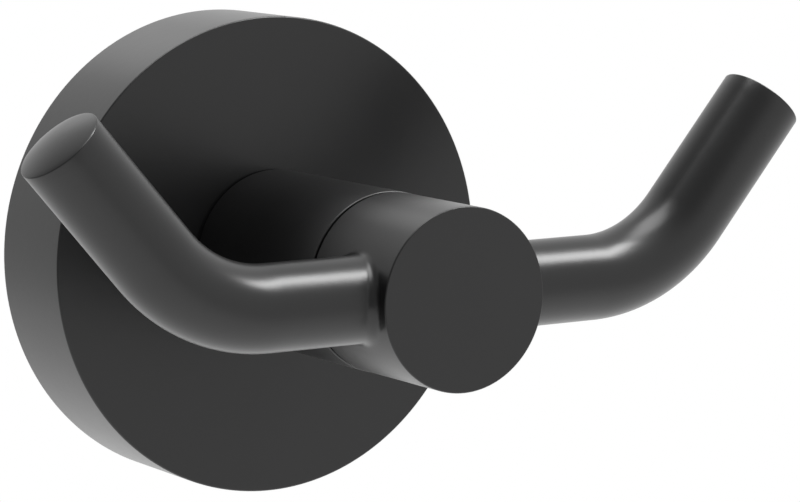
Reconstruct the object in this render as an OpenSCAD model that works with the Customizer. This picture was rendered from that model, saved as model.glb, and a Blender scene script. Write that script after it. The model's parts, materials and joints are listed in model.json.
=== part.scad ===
// Double robe hook on a round rose.
// The wall is the plane y = 0 and the post stands out of it along -Y.
// +Z is up, and the two arms lie along X and turn up at their ends.

/* [Rose] */
// Diameter of the round rose that covers the fixing
rose_d = 55; // [45:0.5:75]
// How far the rose stands off the wall
rose_depth = 13.6; // [11:0.1:20]
// Thickness of the rose's side wall
rose_wall = 2.4; // [1.6:0.1:4]
// Thickness of the rose's front
rose_front = 2.4; // [1.6:0.1:3.2]
// Edge break round the rose's front
rose_edge = 0.2; // [0.1:0.05:1]
// Radius in the corner inside the rose
rose_corner = 1; // [0.2:0.1:1.5]

/* [Neck] */
// Diameter of the neck, the rear part of the post
neck_d = 20; // [16:0.1:28]
// Length of the neck, from the rose to the seam
neck_len = 25.3; // [12:0.1:60]
// Chamfer on the neck's front rim, at the seam
neck_chamfer = 0.15; // [0.1:0.05:1]
// Edge break on the neck's rear rim, against the rose
neck_edge = 0.15; // [0.05:0.05:0.5]

/* [Head] */
// Diameter of the head, the front part of the post
head_d = 19.9; // [16:0.1:28]
// Length of the head, from the seam to its flat front
head_len = 15.4; // [13:0.1:30]
// Edge break round the head's front
head_edge = 0.15; // [0.05:0.05:1]
// Width of the shadow gap that is turned behind the head
seam_w = 0.5; // [0.1:0.05:1]
// Depth of the shadow gap
seam_depth = 0.6; // [0.2:0.05:1.5]

/* [Arms] */
// Diameter of the round arms
arm_d = 9.4; // [7:0.1:10]
// Distance of the arms' axis behind the head's flat front
arm_setback = 6.6; // [5.8:0.1:7.5]
// Straight length of an arm, from the post's axis to the bend
arm_straight = 20.4; // [14:0.1:40]
// Bend radius on the arm's axis
arm_bend_r = 17; // [8:0.1:30]
// Angle that the arm turns up through
arm_bend_angle = 49.5; // [20:0.5:90]
// Straight length after the bend, to the crown of the domed end
arm_tip = 17.1; // [6:0.1:40]
// Rise of the slight dome on the arm's end
arm_dome = 0.7; // [0.1:0.05:2]
// Edge break round the dome
arm_edge = 0.15; // [0.1:0.05:1]
// Radius of the fillet where an arm leaves the head
root_fillet = 1.1; // [0.3:0.05:1.5]

/* [Wall plate] */
// Thickness of the steel strip
plate_t = 1.8; // [1.2:0.1:2.5]
// Width of the strip
plate_w = 20; // [14:0.5:26]
// Height of the folded ears, from the wall
ear_h = 8.5; // [7:0.1:10]
// Radius inside the folds
fold_r = 1; // [0.5:0.1:1.5]
// Corner radius on the free edge of an ear
ear_corner = 3; // [1:0.1:3.5]
// Gap between the ears' corners and the rose
ear_gap = 0.2; // [0.1:0.05:0.5]
// Distance between the two slots for the wall screws
slot_spacing = 26; // [20:0.5:30]
// Width of a slot
slot_w = 5; // [4:0.1:6]
// End-to-end length of a slot
slot_len = 7; // [6:0.1:8]

/* [Post screw] */
// Thread diameter of the screw that holds the post together
post_screw_d = 6; // [5:0.5:8]
// Length of its thread inside the head
post_screw_grip = 5.8; // [4.5:0.1:9]
// Diameter of its domed head
post_screw_head_d = 10.5; // [9:0.1:13]
// Height of its domed head
post_screw_head_h = 3.3; // [2.5:0.1:4]
// Height of the straight rim under the dome
post_screw_rim_h = 0.8; // [0.3:0.1:1.2]
// Width across the flats of its hexagon socket
post_socket_w = 4; // [3:0.5:4.5]
// Depth of its hexagon socket
post_socket_depth = 2; // [1:0.1:2.2]
// Chamfer at its tip
post_screw_chamfer = 0.8; // [0.2:0.1:1]
// Gap round the screw in the rose and the neck
post_screw_gap = 0.2; // [0.1:0.05:0.5]
// Thread-free depth past the screw's tip
hole_runout = 1.8; // [0.5:0.1:2.5]

/* [Lock washer] */
// Outer diameter of the spring washer
washer_d = 11.8; // [10.5:0.1:14]
// Thickness of the spring washer
washer_t = 1.5; // [1:0.1:2]
// Width of the washer's slanted cut
washer_cut = 0.7; // [0.3:0.1:1.2]
// Slant of the cut
washer_slant = 25; // [10:1:40]

/* [Grub screw] */
// Thread diameter of the grub screw under the rose
grub_d = 4; // [3:0.5:5]
// Distance of its axis from the wall
grub_y = 5.6; // [4.8:0.1:6.4]
// How far its outer end lies inside the rose's surface
grub_inset = 0.4; // [0.2:0.05:0.8]
// Width across the flats of its hexagon socket
grub_socket_w = 2; // [1.5:0.1:2.5]
// Depth of its hexagon socket
grub_socket_depth = 1.6; // [0.8:0.1:2]
// Diameter of the cup in its point
grub_cup_d = 2; // [1:0.1:2.4]
// Chamfer round its point
grub_chamfer = 0.5; // [0.2:0.1:0.6]
// Radial play of both screws in their threaded holes
thread_gap = 0.05; // [0.02:0.01:0.1]

/* [Hidden] */
$fn = 96;

// One overrun for all the cuts
overrun = 1;

rose_r = rose_d / 2;
rose_inner_r = rose_r - rose_wall;
rose_inner_face = rose_depth - rose_front;
neck_r = neck_d / 2;
head_r = head_d / 2;
seam_at = rose_depth + neck_len;
head_front = seam_at + head_len;
arm_r = arm_d / 2;
arm_at = head_front - arm_setback;

// Faces of the screw joint, as distances from the wall
washer_back = rose_inner_face - washer_t;
post_screw_tip = seam_at + post_screw_grip;
post_hole_r = post_screw_d / 2 + post_screw_gap;
drill_point_angle = 118;

// The ears' outer faces, where their corners meet the rose with the named gap
ear_face = sqrt(pow(rose_inner_r - ear_gap, 2) - pow(plate_w / 2, 2));
fold_outer_r = fold_r + plate_t;

// The straight tip starts just inside the bend's end, a hair thinner, so that it lies
// wholly within the bend there
tip_lap = 0.25;
tip_step = 0.01;

// Steps round the arm, and steps across the fillet
fillet_around = 48;
fillet_across = 6;
// The fillet's surface starts and ends this share of its arc from where the ball touches
fillet_start_share = 0.18;
// Its two rims are led on and down into the arm and the head, by shares of its radius
fillet_lead_share = 0.25;
fillet_sink_share = 0.12;
// Where its inner end closes inside the head
fillet_core_share = 0.5;
// The root fillet with its rim stays within the head, in front of the arm and behind it
front_room = arm_setback - arm_r - head_edge;
rear_room = head_len - arm_setback - arm_r - seam_w;
fillet_r = min(root_fillet, min(front_room, rear_room) / (1 + fillet_lead_share));

// Turns a shape that stands on XY so that it stands on the wall, at a distance from it
module out_of_wall(distance) {
    rotate([90, 0, 0])
        translate([0, 0, distance])
            children();
}

// A round bar that stands on XY, with an edge break at its far end
module edged_bar(r, length, edge) {
    rotate_extrude()
        polygon([[0, 0], [r, 0], [r, length - edge], [r - edge, length], [0, length]]);
}

// A hexagon socket of a width across the flats, sunk from z = 0 upwards
module hex_socket(width, depth) {
    translate([0, 0, -overrun])
        cylinder(d = width / cos(30), h = depth + overrun, $fn = 6);
}

// The strip's side view: flat on the wall, with a folded ear at each end
module folded_strip_side() {
    translate([-(ear_face - fold_outer_r), 0])
        square([2 * (ear_face - fold_outer_r), plate_t]);
    for (end = [0, 1])
        mirror([end, 0]) {
            translate([ear_face - fold_outer_r, fold_outer_r])
                intersection() {
                    difference() {
                        circle(r = fold_outer_r);
                        circle(r = fold_r);
                    }
                    translate([0, -fold_outer_r])
                        square(fold_outer_r);
                }
            translate([ear_face - plate_t, fold_outer_r])
                square([plate_t, ear_h - fold_outer_r]);
        }
}

// The strip's end view, with the rounded corners of an ear's free edge
module ear_front() {
    translate([-plate_w / 2, 0])
        square([plate_w, ear_h - ear_corner]);
    translate([-plate_w / 2 + ear_corner, 0])
        square([plate_w - 2 * ear_corner, ear_h]);
    for (side = [-1, 1])
        translate([side * (plate_w / 2 - ear_corner), ear_h - ear_corner])
            circle(r = ear_corner);
}

// A slot through the strip, along Z
module wall_screw_slot() {
    straight = slot_len - slot_w;
    translate([0, 0, -overrun])
        linear_extrude(plate_t + 2 * overrun) {
            square([slot_w, straight], center = true);
            for (end = [-1, 1])
                translate([0, end * straight / 2])
                    circle(d = slot_w);
        }
}

module wall_plate() {
    color("#b9bcbe")
        difference() {
            intersection() {
                rotate([180, 90, 0])
                    linear_extrude(plate_w, center = true)
                        folded_strip_side();
                translate([0, 0, -ear_face])
                    linear_extrude(2 * ear_face)
                        mirror([0, 1])
                            ear_front();
            }
            for (end = [-1, 1])
                translate([0, 0, end * slot_spacing / 2])
                    out_of_wall(0)
                        wall_screw_slot();
        }
}

// Half section of the rose: a cup that is open towards the wall
module rose_section() {
    difference() {
        polygon([
            [0, 0], [rose_r, 0], [rose_r, rose_depth - rose_edge],
            [rose_r - rose_edge, rose_depth], [0, rose_depth]
        ]);
        translate([0, -overrun])
            square([rose_inner_r - rose_corner, rose_inner_face + overrun]);
        translate([0, -overrun])
            square([rose_inner_r, rose_inner_face - rose_corner + overrun]);
        translate([rose_inner_r - rose_corner, rose_inner_face - rose_corner])
            circle(r = rose_corner);
    }
}

module rose() {
    color("#3c3c3e")
        difference() {
            out_of_wall(0)
                rotate_extrude()
                    rose_section();
            out_of_wall(rose_inner_face - overrun)
                cylinder(r = post_hole_r, h = rose_front + 2 * overrun);
            translate([0, -grub_y, -rose_r - overrun])
                cylinder(d = grub_d, h = rose_wall + 2 * overrun);
        }
}

module lock_washer() {
    color("#a5a8aa")
        out_of_wall(washer_back)
            difference() {
                cylinder(d = washer_d, h = washer_t);
                translate([0, 0, -overrun])
                    cylinder(r = post_hole_r, h = washer_t + 2 * overrun);
                translate([0, 0, washer_t / 2])
                    rotate([washer_slant, 0, 0])
                        translate([0, -washer_cut / 2, -washer_t])
                            cube([washer_d, washer_cut, 2 * washer_t]);
            }
}

// A domed head of a screw, whose flat side is at z = 0 and whose dome rises from it
module domed_head(r, height, rim_h) {
    dome_h = height - rim_h;
    dome_r = (r * r + dome_h * dome_h) / (2 * dome_h);
    intersection() {
        cylinder(r = r, h = height);
        translate([0, 0, height - dome_r])
            sphere(r = dome_r);
    }
}

module post_screw() {
    shank_r = post_screw_d / 2 - thread_gap;
    color("#a5a8aa")
        difference() {
            union() {
                out_of_wall(washer_back)
                    mirror([0, 0, 1])
                        domed_head(post_screw_head_d / 2, post_screw_head_h, post_screw_rim_h);
                out_of_wall(washer_back)
                    edged_bar(shank_r, post_screw_tip - washer_back, post_screw_chamfer);
            }
            out_of_wall(washer_back - post_screw_head_h)
                hex_socket(post_socket_w, post_socket_depth);
        }
}

// Half section of the neck: a turned sleeve that the post screw passes through
module neck_section() {
    polygon([
        [post_hole_r, 0], [neck_r - neck_edge, 0], [neck_r, neck_edge],
        [neck_r, neck_len - neck_chamfer], [neck_r - neck_chamfer, neck_len], [post_hole_r, neck_len]
    ]);
}

module neck() {
    color("#2b2b2d")
        out_of_wall(rose_depth)
            rotate_extrude()
                neck_section();
}

// Half section of the head, with the shadow gap at its rear
module head_section() {
    polygon([
        [0, 0], [head_r - seam_depth, 0], [head_r - seam_depth, seam_w], [head_r, seam_w],
        [head_r, head_len - head_edge], [head_r - head_edge, head_len], [0, head_len]
    ]);
}

// The straight tip of an arm along Z, with the slight dome of its end
module domed_tip() {
    length = tip_lap + arm_tip;
    bar_r = arm_r - tip_step;
    rim_r = bar_r - arm_edge;
    dome_r = (rim_r * rim_r + arm_dome * arm_dome) / (2 * arm_dome);
    difference() {
        edged_bar(bar_r, length + arm_edge, arm_dome + 2 * arm_edge);
        difference() {
            translate([0, 0, length - arm_dome - arm_edge])
                cylinder(r = arm_d, h = arm_dome + arm_edge + overrun);
            translate([0, 0, length - dome_r])
                sphere(r = dome_r);
        }
    }
}

// The bent arm on the +X side, round the arms' own axis
module bent_arm() {
    translate([arm_straight, 0, arm_bend_r]) {
        rotate([90, 0, 0])
            rotate([0, 0, -90])
                rotate_extrude(angle = arm_bend_angle)
                    translate([arm_bend_r, 0])
                        circle(r = arm_r);
        rotate([0, -arm_bend_angle, 0])
            translate([-tip_lap, 0, -arm_bend_r])
                rotate([0, 90, 0])
                    domed_tip();
    }
}

// The root fillet is what a ball of the fillet's radius leaves when it rolls round
// the arm in the corner with the head. At each angle round the arm the ball touches
// the arm along one direction from its centre, and the head along another.
function ball_centre(angle) =
    let (a = arm_r + fillet_r, b = head_r + fillet_r)
    [sqrt(b * b - pow(a * sin(angle), 2)), a * cos(angle), a * sin(angle)];
function to_arm(angle) = [0, -cos(angle), -sin(angle)];
function to_head(angle) =
    let (c = ball_centre(angle))
    [-c.x, 0, -c.z] / (head_r + fillet_r);

// Point on the fillet at a share of the arc from the arm to the head
function on_fillet(angle, share) =
    let (p = to_arm(angle), q = to_head(angle), w = acos(p * q))
    ball_centre(angle) + fillet_r * (sin((1 - share) * w) * p + sin(share * w) * q) / sin(w);

// Point past the end of the arc at direction p, led on away from q and down into the metal
function past_fillet(angle, p, q) =
    let (w = acos(p * q), onward = (cos(w) * p - q) / sin(w))
    ball_centre(angle) + fillet_r * ((1 + fillet_sink_share) * p + fillet_lead_share * onward);

function fillet_ring(i) = [
    for (k = [0 : fillet_around - 1])
        let (angle = k * 360 / fillet_around)
        i == 0 ? past_fillet(angle, to_arm(angle), to_head(angle))
        : i == fillet_across ? past_fillet(angle, to_head(angle), to_arm(angle))
        : on_fillet(angle, fillet_start_share
                    + (1 - 2 * fillet_start_share) * (i - 1) / (fillet_across - 2))
];

module root_collar() {
    n = fillet_around;
    rings = [for (i = [0 : fillet_across]) each fillet_ring(i)];
    outer_end = [ball_centre(0).x, 0, 0];
    inner_end = [head_r * fillet_core_share, 0, 0];
    last = fillet_across * n;
    polyhedron(
        points = concat(rings, [outer_end, inner_end]),
        faces = concat(
            [for (i = [0 : fillet_across - 1], k = [0 : n - 1])
                [i * n + k, (i + 1) * n + (k + 1) % n, (i + 1) * n + k]],
            [for (i = [0 : fillet_across - 1], k = [0 : n - 1])
                [i * n + k, i * n + (k + 1) % n, (i + 1) * n + (k + 1) % n]],
            [for (k = [0 : n - 1]) [len(rings), (k + 1) % n, k]],
            [for (k = [0 : n - 1]) [len(rings) + 1, last + k, last + (k + 1) % n]]
        )
    );
}

// Blind hole for the post screw, with the cone that the drill leaves
module post_screw_hole() {
    r = post_screw_d / 2;
    depth = post_screw_grip + hole_runout;
    rotate_extrude()
        polygon([
            [0, -overrun], [r, -overrun], [r, depth],
            [0, depth + r / tan(drill_point_angle / 2)]
        ]);
}

module hook_head() {
    color("#464648")
        difference() {
            union() {
                out_of_wall(seam_at)
                    rotate_extrude()
                        head_section();
                translate([0, -arm_at, 0]) {
                    rotate([0, 90, 0])
                        cylinder(r = arm_r, h = 2 * arm_straight, center = true);
                    for (side = [0, 1])
                        mirror([side, 0, 0]) {
                            bent_arm();
                            root_collar();
                        }
                }
            }
            out_of_wall(seam_at)
                post_screw_hole();
        }
}

module grub_screw() {
    r = grub_d / 2 - thread_gap;
    outer_end = rose_r - grub_inset;
    length = outer_end - ear_face;
    cup_r = grub_cup_d / 2;
    color("#303032")
        translate([0, -grub_y, -outer_end])
            difference() {
                edged_bar(r, length, grub_chamfer);
                hex_socket(grub_socket_w, grub_socket_depth);
                rotate_extrude()
                    polygon([
                        [0, length - cup_r / 2], [cup_r, length],
                        [cup_r, length + overrun], [0, length + overrun]
                    ]);
            }
}

wall_plate();
rose();
lock_washer();
post_screw();
neck();
hook_head();
grub_screw();
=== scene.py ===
"""Finished surfaces, studio and camera for a double robe hook.

The post stands out of the wall along -Y, +Z is up, and the arms lie along X.
Lengths are metres and angles are radians.
"""

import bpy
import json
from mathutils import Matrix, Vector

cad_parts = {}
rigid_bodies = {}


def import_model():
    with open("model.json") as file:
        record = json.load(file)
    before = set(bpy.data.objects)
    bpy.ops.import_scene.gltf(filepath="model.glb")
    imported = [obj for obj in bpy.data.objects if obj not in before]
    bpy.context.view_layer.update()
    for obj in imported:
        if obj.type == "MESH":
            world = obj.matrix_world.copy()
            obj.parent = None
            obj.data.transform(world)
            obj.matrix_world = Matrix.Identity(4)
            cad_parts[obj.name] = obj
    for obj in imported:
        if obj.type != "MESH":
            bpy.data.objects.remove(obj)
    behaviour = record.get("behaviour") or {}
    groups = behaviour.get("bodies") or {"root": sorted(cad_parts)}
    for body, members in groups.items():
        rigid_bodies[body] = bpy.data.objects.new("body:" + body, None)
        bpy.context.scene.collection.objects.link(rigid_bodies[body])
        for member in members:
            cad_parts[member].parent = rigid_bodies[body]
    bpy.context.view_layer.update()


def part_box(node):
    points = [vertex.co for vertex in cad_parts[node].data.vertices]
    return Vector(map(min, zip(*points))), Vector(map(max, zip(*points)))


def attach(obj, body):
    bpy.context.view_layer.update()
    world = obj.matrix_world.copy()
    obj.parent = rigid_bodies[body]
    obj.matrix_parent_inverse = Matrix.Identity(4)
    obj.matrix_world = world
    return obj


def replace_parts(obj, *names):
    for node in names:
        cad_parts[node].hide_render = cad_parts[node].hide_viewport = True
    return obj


bl_info = {
    "name": "Double Robe Hook",
    "version": (1, 0, 0),
    "blender": (4, 5, 0),
    "location": "View3D > Sidebar > Robe Hook",
    "description": "Builds the surfaces, the finishes and the studio of a double robe hook",
    "category": "Object",
}

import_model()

import json
import math
from functools import partial

import bmesh
import bpy
from bpy.props import FloatProperty, FloatVectorProperty, IntProperty, PointerProperty
from mathutils import Matrix, Quaternion, Vector

BODY = "root"
FULL_TURN = 2 * math.pi
RIGHT_ANGLE = math.pi / 2

# Vertices closer than this are one vertex
WELD = 1e-6
# Turns the +Z axis of a piece to the post's direction, out of the wall
OUT_OF_WALL = Matrix.Rotation(RIGHT_ANGLE, 4, "X")
# Points round the turned pieces, round the drilled hole and round the floor
ROSE_SIDES = 192
NECK_SIDES = 120
WASHER_SIDES = 72
SCREW_SIDES = 48
HOLE_SIDES = 64
FLOOR_SIDES = 96
# Rings of faces over a root fillet, on from it to the arm, and on the head's side
FILLET_STEPS = 10
LEAD_STEPS = 3
HEAD_STEPS = 14
# Rings for each turn of a thread, its depth as a share of the pitch, and the shares of
# the half pitch that its flat crest and the flat at its root take
THREAD_STEPS = 12
THREAD_DEPTH = 0.6134
THREAD_CREST = 0.125
THREAD_ROOT = 0.25
# Edges that turn by more than this stay crisp
CRISP_ANGLE = math.radians(35)

# The finish on each material slot
FINISHES = {
    "matte_black": "Matt black coat", "zinc_steel": "Bright zinc", "black_steel": "Black oxide",
}
# Most of a noise lies between these values
NOISE_SPAN = (0.3, 0.7)
# The values of a noise at which a patch of the edge tone starts and is full, and the edge tone left
# between patches
PATCH_SPAN = (0.35, 0.65)
PATCH_LEAST = 0.3
# Cosines of the turn across an edge at which its edge tone starts and is full: real wear on the zinc and
# the oxide, a painted highlight on the coat
EDGE_SPAN = (0.99, 0.85)
# Cosines of the angle to the backdrop's middle at which its sweep starts and ends
SWEEP_SPAN = (-0.43, 0.05)
FLOOR_TONE = 0.9
FLOOR_ROUGHNESS = 0.8
WHITE = (1.0, 1.0, 1.0, 1.0)

ROSE_LOW, ROSE_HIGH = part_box("rose")
NECK_LOW, NECK_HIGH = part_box("neck")
HEAD_LOW, HEAD_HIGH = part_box("hook_head")
PLATE_LOW, PLATE_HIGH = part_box("wall_plate")
WASHER_LOW, WASHER_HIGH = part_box("lock_washer")
SCREW_LOW, SCREW_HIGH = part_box("post_screw")
GRUB_LOW, GRUB_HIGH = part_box("grub_screw")


def length(name, description, default):
    """A length that the user can change."""
    return FloatProperty(
        name=name, description=description, default=default, min=0.0,
        precision=5, subtype="DISTANCE", unit="LENGTH",
    )


def share(name, description, default):
    """A share from 0 to 1 that the user can change."""
    return FloatProperty(
        name=name, description=description, default=default,
        min=0.0, max=1.0, subtype="FACTOR",
    )


def colour(name, description, default):
    """A linear colour that the user can change."""
    return FloatVectorProperty(
        name=name, description=description, default=default,
        min=0.0, max=1.0, size=3, subtype="COLOR",
    )


def degrees(name, description, default):
    """An angle, given in degrees, that the user can change."""
    return FloatProperty(
        name=name, description=description, default=math.radians(default),
        subtype="ANGLE", unit="ROTATION",
    )


def amount(name, description, default):
    """A plain number, such as a lamp's strength, that the user can change."""
    return FloatProperty(name=name, description=description, default=default, min=0.0)


class PostSizes(bpy.types.PropertyGroup):
    """Sizes of the rose, the neck and the head."""

    rose_r: length("Rose radius", "Radius of the round rose", ROSE_HIGH.x)
    rose_depth: length("Rose depth", "How far the rose stands off the wall", -ROSE_LOW.y)
    rose_wall: length("Rose wall", "Thickness of the rose's side wall", 0.0024)
    rose_front: length("Rose front", "Thickness of the rose's front", 0.0024)
    rose_edge: length("Rose edge", "Radius of the edge round the rose's front", 0.0002)
    rose_corner: length("Rose corner", "Radius in the corner inside the rose", 0.001)
    grub_hole_r: length("Grub hole radius", "Radius of the hole under the rose", 0.002)
    grub_hole_y: length("Grub hole place", "Distance of that hole from the wall", 0.0056)
    pass_r: length("Pass hole radius", "Radius of the hole that the post screw passes through", 0.0032)
    neck_r: length("Neck radius", "Radius of the neck", NECK_HIGH.x)
    seam_at: length("Seam place", "Distance of the seam from the wall", -NECK_LOW.y)
    neck_rim: length("Neck rim", "Radius of the neck's rim at the seam", 0.00015)
    neck_edge: length("Neck edge", "Radius of the neck's edge at its foot", 0.0001)
    foot_w: length("Foot gap width", "Width of the fine gap between the neck and the rose", 0.00035)
    foot_depth: length("Foot gap depth", "Depth of that gap", 0.0005)
    head_r: length("Head radius", "Radius of the head", -HEAD_LOW.z)
    head_front: length("Head front", "Distance of the head's front from the wall", -HEAD_LOW.y)
    head_edge: length("Head edge", "Radius of the edge round the head's front", 0.00015)
    seam_w: length("Seam width", "Width of the shadow gap behind the head", 0.0005)
    seam_depth: length("Seam depth", "Depth of the shadow gap", 0.0006)
    tapped_r: length("Tapped hole radius", "Radius of the threaded hole in the head", 0.003)
    tapped_depth: length("Tapped hole depth", "Depth of that hole, without the drill's cone", 0.0076)
    drill_point: degrees("Drill point", "Full angle of the cone that the drill leaves", 118)


class ArmSizes(bpy.types.PropertyGroup):
    """Sizes of the two bent arms."""

    radius: length("Arm radius", "Radius of the round arms", 0.0047)
    setback: length("Setback", "Distance of the arms' axis behind the head's front", 0.0066)
    straight: length("Straight", "Straight length from the post's axis to the bend", 0.0204)
    bend_r: length("Bend radius", "Radius of the bend on the arm's axis", 0.017)
    bend_angle: degrees("Bend angle", "Angle that the arm turns up through", 49.5)
    tip: length("Tip", "Straight length after the bend, to the crown of the end", 0.0171)
    dome: length("End dome", "Rise of the slight dome on the arm's end", 0.0007)
    edge: length("End edge", "Radius of the edge round the dome", 0.00015)
    fillet: length("Root fillet", "Radius of the fillet where the arm leaves the head", 0.0011)
    sides: IntProperty(
        name="Sides", description="Points round the arm, a multiple of 16", default=160, min=32
    )


class FixingSizes(bpy.types.PropertyGroup):
    """Sizes of the wall plate, the washer and the screws."""

    plate_t: length("Plate thickness", "Thickness of the steel strip", 0.0018)
    plate_w: length("Plate width", "Width of the strip", PLATE_HIGH.x - PLATE_LOW.x)
    ear_h: length("Ear height", "Height of the folded ears, from the wall", -PLATE_LOW.y)
    ear_face: length("Ear place", "Distance of an ear's outer face from the post's axis", PLATE_HIGH.z)
    fold_r: length("Fold radius", "Radius inside the folds", 0.001)
    ear_corner: length("Ear corner", "Corner radius on an ear's free edge", 0.003)
    slot_spacing: length("Slot spacing", "Distance between the slots for the wall screws", 0.026)
    slot_w: length("Slot width", "Width of a slot", 0.005)
    slot_length: length("Slot length", "End-to-end length of a slot", 0.007)
    plate_edge: length("Plate edge", "Edge softened by tumbling", 0.00015)
    washer_r: length("Washer radius", "Outer radius of the spring washer", WASHER_HIGH.x)
    washer_cut: length("Washer cut", "Width of the washer's slanted cut", 0.0007)
    washer_slant: degrees("Washer slant", "Slant of the washer's cut", 25)
    screw_r: length("Post screw radius", "Radius over the post screw's thread", 0.00295)
    screw_pitch: length("Post screw pitch", "Pitch of the post screw's thread", 0.001)
    screw_thread: length("Post screw thread", "Threaded length of the post screw", 0.024)
    screw_head_r: length("Screw head radius", "Radius of the post screw's domed head", SCREW_HIGH.x)
    screw_rim: length("Screw head rim", "Height of the straight rim under the dome", 0.0008)
    screw_chamfer: length("Screw chamfer", "Chamfer at the post screw's tip", 0.0008)
    screw_socket: length("Screw socket", "Width across the flats of its socket", 0.004)
    screw_socket_depth: length("Screw socket depth", "Depth of its socket", 0.002)
    grub_r: length("Grub screw radius", "Radius over the grub screw's thread", GRUB_HIGH.x)
    grub_pitch: length("Grub screw pitch", "Pitch of the grub screw's thread", 0.0007)
    grub_chamfer: length("Grub screw chamfer", "Chamfer round the grub screw's point", 0.0005)
    grub_cup_r: length("Grub screw cup", "Radius of the cup in its point", 0.001)
    grub_socket: length("Grub socket", "Width across the flats of its socket", 0.002)
    grub_socket_depth: length("Grub socket depth", "Depth of its socket", 0.0016)


class FinishColours(bpy.types.PropertyGroup):
    """Colours and textures of the finishes."""

    coat: colour("Coat", "Matt black coat of the visible pieces", (0.0030, 0.0030, 0.0031))
    coat_pale: colour(
        "Pale coat", "Tone that the coat drifts towards in patches", (0.0040, 0.0040, 0.0042)
    )
    # Painted highlight: a paler coat tone painted along the edges, standing in for the bright rims that
    # light draws on the rounded edges
    coat_edge_highlight: colour("Coat edge highlight", "Tone of the coat where it thins over an edge", (0.014, 0.014, 0.014))
    coat_roughness: share("Coat roughness", "Roughness of the coat", 0.292)
    grain: length("Grain", "Size of the coat's fine grain", 0.00012)
    ripple: length("Ripple", "Size of the coat's soft ripple", 0.0011)
    zinc: colour("Zinc", "Bright zinc plating of the fixing", (0.55, 0.57, 0.60))
    zinc_warm: colour("Warm zinc", "Tint that the plating takes in patches", (0.62, 0.60, 0.55))
    zinc_worn: colour("Worn zinc", "Tint of the plating along its edges", (0.72, 0.73, 0.74))
    zinc_roughness: share("Zinc roughness", "Roughness of the plating", 0.34)
    oxide: colour("Black oxide", "Black oxide of the grub screw", (0.030, 0.030, 0.032))
    oxide_worn: colour("Worn oxide", "Steel that shows through on the edges", (0.30, 0.30, 0.30))
    oxide_roughness: share("Oxide roughness", "Roughness of the black oxide", 0.42)


class StudioSetup(bpy.types.PropertyGroup):
    """Camera, lamps and floor."""

    azimuth: degrees("Azimuth", "Camera's direction round the hook, 0 in front of it", -31.91)
    elevation: degrees("Elevation", "Camera's angle above the horizon", 7.87)
    roll: degrees("Roll", "Turn of the camera about its own axis", -0.155)
    distance: length("Distance", "Distance of the camera from its target", 0.404)
    target: FloatVectorProperty(
        name="Target", description="Point that the camera looks at",
        default=(0.01328, -0.02, 0.00026), size=3, precision=5,
        subtype="TRANSLATION", unit="LENGTH",
    )
    lens: FloatProperty(
        name="Lens", description="Focal length on a sensor 36 mm wide",
        default=157.5, unit="CAMERA",
    )
    floor_drop: length("Floor drop", "Depth of the pale floor under the hook", 0.6)
    floor_r: length("Floor radius", "Radius of the pale floor", 2.3)
    floor_light: amount("Floor light", "What the floor adds where it is seen, where 1 is white", 0.23)
    lamp_distance: length("Lamp distance", "Distance of the lamps from the hook", 1.2)
    key_azimuth: degrees("Key azimuth", "Direction of the key lamp round the hook", 62.6)
    key_elevation: degrees("Key elevation", "Key lamp's angle above the horizon", 54.6)
    key_w: length("Key width", "Width of the key lamp", 0.348)
    key_h: length("Key height", "Height of the key lamp", 0.584)
    key_light: amount("Key light", "Brightness of the key lamp's face, where 1 is white", 16.4)
    top_azimuth: degrees("Top azimuth", "Direction of the top lamp round the hook", 308.7)
    top_elevation: degrees("Top elevation", "Top lamp's angle above the horizon", 86)
    top_w: length("Top width", "Width of the top lamp", 0.668)
    top_h: length("Top height", "Height of the top lamp", 0.752)
    top_light: amount("Top light", "Brightness of the top lamp's face", 5.22)
    back_azimuth: degrees("Back azimuth", "Direction of the back lamp round the hook", 170.9)
    back_elevation: degrees("Back elevation", "Back lamp's angle above the horizon", 35.9)
    back_w: length("Back width", "Width of the back lamp", 0.332)
    back_h: length("Back height", "Height of the back lamp", 0.43)
    back_light: amount("Back light", "Brightness of the back lamp's face", 0.49)
    backdrop_azimuth: degrees("Backdrop azimuth", "Middle of the white backdrop's sweep", 110)
    backdrop_light: amount("Backdrop light", "Brightness of the white backdrop", 0.98)
    room_light: amount("Room light", "Brightness of the room to the left of the camera", 0.395)


def direction(azimuth, elevation):
    """The unit vector towards an azimuth round the hook and an elevation."""
    level = math.cos(elevation)
    return Vector((math.sin(azimuth) * level, -math.cos(azimuth) * level, math.sin(elevation)))


def add_rings(bm, rings):
    """Faces between each ring of points and the next one."""
    rows = [[bm.verts.new(point) for point in ring] for ring in rings]
    for near, far in zip(rows, rows[1:]):
        for k in range(len(near)):
            after = (k + 1) % len(near)
            bm.faces.new((near[k], near[after], far[after], far[k]))


def spread(start, end, steps):
    """Even steps from one value to another, both included."""
    return [start + (end - start) * k / steps for k in range(steps + 1)]


def turned_rings(section, sides, closed=False):
    """Rings of points round +Z, from a section of (radius, height) points."""
    angles = spread(0.0, FULL_TURN, sides)[:-1]
    rings = []
    for radius, height in section + section[:1] if closed else section:
        rings.append([
            Vector((radius * math.cos(angle), radius * math.sin(angle), height)) for angle in angles
        ])
    return rings


def arc(centre, radius, start, end, steps):
    """Points of a section along an arc, from one angle to another."""
    points = []
    for angle in spread(start, end, steps):
        points.append((centre[0] + radius * math.cos(angle), centre[1] + radius * math.sin(angle)))
    return points
def add_prism(bm, outline, low, high, place):
    """A closed prism: place takes a point of the outline and a height to a point in space."""
    rows = [[bm.verts.new(place(a, b, height)) for a, b in outline] for height in (low, high)]
    for k in range(len(outline)):
        after = (k + 1) % len(outline)
        bm.faces.new((rows[0][k], rows[0][after], rows[1][after], rows[1][k]))
    for row in rows:
        bm.faces.new(row)


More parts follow.
